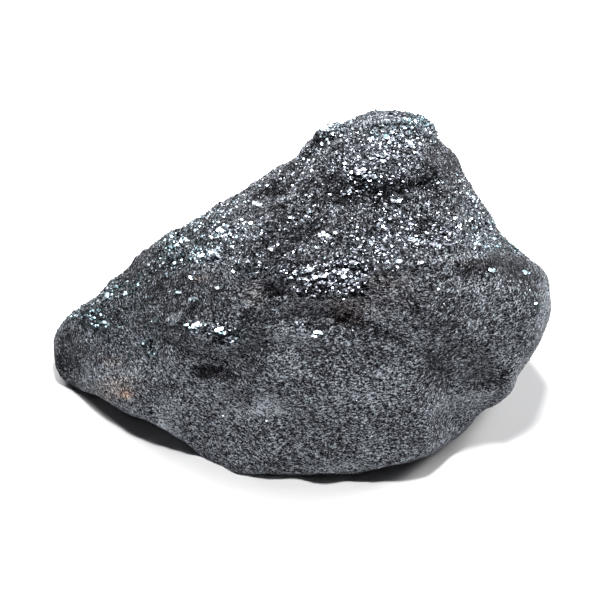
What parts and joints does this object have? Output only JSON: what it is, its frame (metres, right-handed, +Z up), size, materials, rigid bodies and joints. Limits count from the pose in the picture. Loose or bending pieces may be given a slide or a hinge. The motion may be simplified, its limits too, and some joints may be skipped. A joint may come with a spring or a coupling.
{
  "type": "micaceous hematite specimen",
  "caption": "Hand-sized lump of glittering steel-grey iron ore with layered ledges and a raised crest, standing on a flat broken face.",
  "frame": {"origin": "on the resting face's plane, under the centre of the specimen's bounding box", "axes": "+X along the specimen's length to the right as seen from its front, +Y towards the back, +Z up"},
  "size_m": [0.0946, 0.0592, 0.0512],
  "materials": {
    "ore": "dark steel-grey, fine-grained, with glittering flakes"
  },
  "bodies": {
    "root": {"hematite": "ore"}
  },
  "joints": []
}
